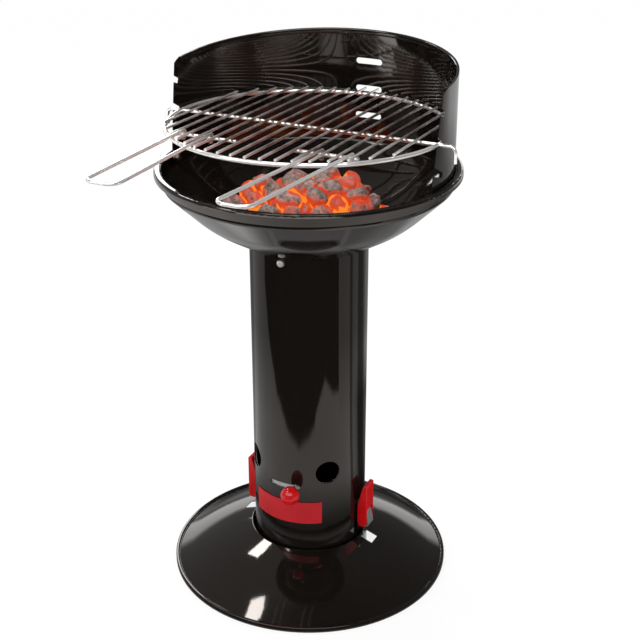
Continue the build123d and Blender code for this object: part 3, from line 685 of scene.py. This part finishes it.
# %% Dim cloth
CLOTH_RADIUS = 5.0
CLOTH_ROWS, CLOTH_COLUMNS = 46, 73
CLOTH_FOOT_DEGREES = 1
CLOTH_STEPS = [
    (-180, 0.20), (-150, 0.36), (-100, 0.34), (-50, 0.12),
    (0, 0.05), (80, 0.06), (130, 0.14), (180, 0.20),
]
WINDOW_STEPS = [(-75, 0), (-70, 3.6), (30, 3.6), (35, 0)]
WINDOW_RISE = [(26, 0), (30, 1), (58, 1), (62, 0)]
BACKDROP_STEPS = [(110, 0.0), (125, 1.6), (180, 1.6)]
BACKDROP_RISE = [(11, 1), (14, 0)]
cloth_rise = np.radians(np.linspace(CLOTH_FOOT_DEGREES, 90, CLOTH_ROWS))
cloth_turn = np.radians(np.linspace(-180, 180, CLOTH_COLUMNS))
rise, turn = np.meshgrid(cloth_rise, cloth_turn, indexing="ij")
cloth_points = around(turn, CLOTH_RADIUS * np.cos(rise), CLOTH_RADIUS * np.sin(rise))
window = by_turn(turn, WINDOW_STEPS) * by_turn(rise, WINDOW_RISE)
backdrop = by_turn(np.abs(turn), BACKDROP_STEPS) * by_turn(rise, BACKDROP_RISE)
cloth_tone = by_turn(turn, CLOTH_STEPS) + window + backdrop
toned_grid("dim_cloth", cloth_points, cloth_tone)
print("cloth tones from", cloth_tone.min(), "to", cloth_tone.max())

# %% [markdown]
# A sheet just above the floor carries the tones that the column, the bowl and the shield mirror:
# shade close to the foot and behind the grill, and pale strips to both sides. Its tone changes
# with the turn in three zones, near, middle and far, that run into each other.

# %% Tones of the floor sheet
SHEET_START, SHEET_END = 0.19, 7.5
SHEET_ROWS, SHEET_COLUMNS = 160, 361
NEAR_STEPS = [
    (-180, 0.4), (-140, 0.36), (-133, 0.9), (-92, 0.9), (-80, 1.0), (82, 1.0), (84, 0.3),
    (89, 0.3), (91, 0.9), (103, 0.9), (109, 0.2), (128, 0.2), (138, 0.8), (180, 0.4),
]
MIDDLE_STEPS = [
    (-180, 0.5), (-120, 1.3), (-64, 2.2), (-25, 1.4), (0, 1.1),
    (50, 1.6), (85, 1.0), (110, 0.3), (180, 0.5),
]
FAR_STEPS = [
    (-180, 0.6), (-172, 0.2), (-112, 0.1), (-104, 0.3), (-92, 0.9), (-82, 0.6), (-79, 0.8),
    (-77, 4.0), (-62, 3.6), (-58, 0.4), (-52, 0.05), (-34, 0.05), (-26, 1.2), (-14, 1.2),
    (-8, 0.1), (8, 0.08), (32, 0.65), (80, 0.70), (92, 0.05), (112, 0.15), (132, 1.0),
    (150, 0.7), (180, 0.6),
]
MIDDLE_FROM, MIDDLE_FADE = 1.40, 0.05
FAR_FROM, FAR_FADE = 2.0, 0.6


def ramp(value, start, span):
    """0 up to start, 1 from start + span on, straight between. A span below 0 runs backwards."""
    return np.clip((value - start) / span, 0, 1)


sheet_distance = np.geomspace(SHEET_START, SHEET_END, SHEET_ROWS)
sheet_turn = np.radians(np.linspace(-180, 180, SHEET_COLUMNS))
distance, turn = np.meshgrid(sheet_distance, sheet_turn, indexing="ij")
near, middle, far = (by_turn(turn, steps) for steps in (NEAR_STEPS, MIDDLE_STEPS, FAR_STEPS))
to_middle = ramp(distance, MIDDLE_FROM, MIDDLE_FADE)
to_far = ramp(distance, FAR_FROM, FAR_FADE)
floor_tone = (1 - to_middle) * near + (to_middle - to_far) * middle + to_far * far
print("sheet points:", floor_tone.size)

# %% [markdown]
# Four shades lie on those tones: one close round the foot, one beside and behind the grill, one
# behind it on the right, and a black card in front, whose near edge curves and draws the dark
# tongue down the column.

# %% Shades on the floor sheet
SHEET_HEIGHT = 0.002
FOOT_SHADE_ENDS, FOOT_SHADE = [0.20, 0.235, 0.33], [0.08, 0.25, 1.0]
SIDE_STEPS = [(56, 0), (60, 1), (180, 1)]
SIDE_SHADE_ENDS, SIDE_SHADE = [0.50, 0.85, 1.33, 1.43], [0.0, 0.5, 0.5, 0.0]
BACK_STEPS = [(85, 0), (110, 1), (170, 1), (180, 0)]
BACK_SHADE, BACK_END, BACK_FADE = 0.8, 0.75, 0.2
CARD_TURNS = np.radians([-92, -84, -64, -38, -20, 0, 29, 45, 57])
CARD_EDGE = np.array([1.10, 0.85, 0.60, 0.47, 0.43, 0.47, 0.68, 0.62, 0.62])
CARD_SHADE, CARD_END, NO_CARD = 0.97, 1.43, 9.0
CARD_EDGE_FADE, CARD_END_FADE = 0.03, 0.05
floor_tone *= np.interp(distance, FOOT_SHADE_ENDS, FOOT_SHADE)
at_sides = by_turn(np.abs(turn), SIDE_STEPS)
floor_tone *= 1 - at_sides * np.interp(distance, SIDE_SHADE_ENDS, SIDE_SHADE)
floor_tone *= 1 - BACK_SHADE * ramp(distance, BACK_END, -BACK_FADE) * by_turn(turn, BACK_STEPS)
edge = np.interp(turn, CARD_TURNS, CARD_EDGE, left=NO_CARD, right=NO_CARD)
card = ramp(distance, edge, CARD_EDGE_FADE) * ramp(distance, CARD_END, -CARD_END_FADE)
floor_tone *= 1 - CARD_SHADE * card
toned_grid("toned_floor", around(turn, distance, SHEET_HEIGHT), floor_tone)
print("floor tones from", floor_tone.min(), "to", floor_tone.max())

# %% [markdown]
# A soft box overhead lights the grate. Two small bright ones to the left put the white patches on
# the foot, and one behind on the left whitens the flange of the bowl. Each is given by its
# radiance, which is how bright its reflection looks, whatever its size.


# %% Soft boxes
def soft_box(name, place, aim, size, radiance):
    """A rectangular lamp at place, facing aim. Its power is radiance times area times pi."""
    lamp = bpy.data.lights.new(name, "AREA")
    lamp.shape = "RECTANGLE"
    lamp.size, lamp.size_y = size
    lamp.energy = radiance * size[0] * size[1] * pi
    box = add_object(name, lamp)
    box.location = place
    way = np.array(place) - np.array(aim)
    flat = np.hypot(way[0], way[1])
    box.rotation_euler = (np.arctan2(flat, way[2]), 0, np.arctan2(way[0], -way[1]))
    box.visible_camera = False
    return box


soft_box("overhead", place=(-0.15, 0.25, 2.2), aim=(0, 0, 0.6), size=(0.8, 0.7), radiance=6.0)
soft_box(
    "left_back_patch", place=(-1.11, 0.44, 1.60), aim=(-0.03, -0.09, 0.05), size=(0.22, 0.24), radiance=22.0
)
soft_box(
    "left_front_patch", place=(-0.63, -0.43, 1.60), aim=(0.0, -0.17, 0.02), size=(0.17, 0.20), radiance=22.0
)
soft_box(
    "back_left", place=(-1.116, 1.05, 0.985), aim=(-0.185, -0.06, 0.597), size=(0.42, 0.5), radiance=7.0
)

# %% [markdown]
# The cone of the bowl would mirror only the black column and foot below it. A weak lamp under the
# bowl, facing up and seen in gloss alone, gives the cone an even grey. Towards the camera the lamp
# is masked by an oval, whose dark shape shows low on the front of the bowl.

# %% Lamp under the bowl
UNDER_BOWL_HEIGHT, UNDER_BOWL_SIZE, UNDER_BOWL_RADIANCE = 0.49, 0.38, 0.32
MASK_DISTANCE, MASK_HALF_DEPTH, MASK_HALF_WIDTH = 0.129, 0.0115, 0.045
MASK_DARK, MASK_CLEAR = 0.8, 1.2
COLUMN_DARK, COLUMN_CLEAR = 0.104, 0.122
RIGHT_SHADE, RIGHT_FROM, RIGHT_TO = 0.4, 0.03, 0.12
bowl_glow = soft_box(
    "under_bowl",
    place=(0, 0, UNDER_BOWL_HEIGHT),
    aim=(0, 0, 1),
    size=(UNDER_BOWL_SIZE, UNDER_BOWL_SIZE),
    radiance=UNDER_BOWL_RADIANCE,
)
bowl_glow.visible_diffuse = False
bowl_glow.data.use_nodes = True
flow = Flow(bowl_glow.data.node_tree)
spot_x, spot_y = flow.node("ShaderNodeNewGeometry", out="Position").plane()
camera_sine, camera_cosine = float(np.sin(CAMERA_TURN)), float(np.cos(CAMERA_TURN))
towards = spot_x * camera_sine - spot_y * camera_cosine
sideways = spot_x * camera_cosine + spot_y * camera_sine
depth = (towards - MASK_DISTANCE) * (1 / MASK_HALF_DEPTH)
width = sideways * (1 / MASK_HALF_WIDTH)
unmasked = (depth * depth + width * width).held(MASK_DARK, MASK_CLEAR)
off_column = (spot_x * spot_x + spot_y * spot_y).held(COLUMN_DARK**2, COLUMN_CLEAR**2)
dimmer_right = 1 - RIGHT_SHADE * sideways.held(RIGHT_FROM, RIGHT_TO)
glow_colour = (unmasked * off_column * dimmer_right).blend(grey(0.0), grey(1.0))
feed(flow, bowl_glow.data.node_tree.nodes["Emission"], Color=glow_colour)
print("lamp under the bowl:", bowl_glow.name)

# %% [markdown]
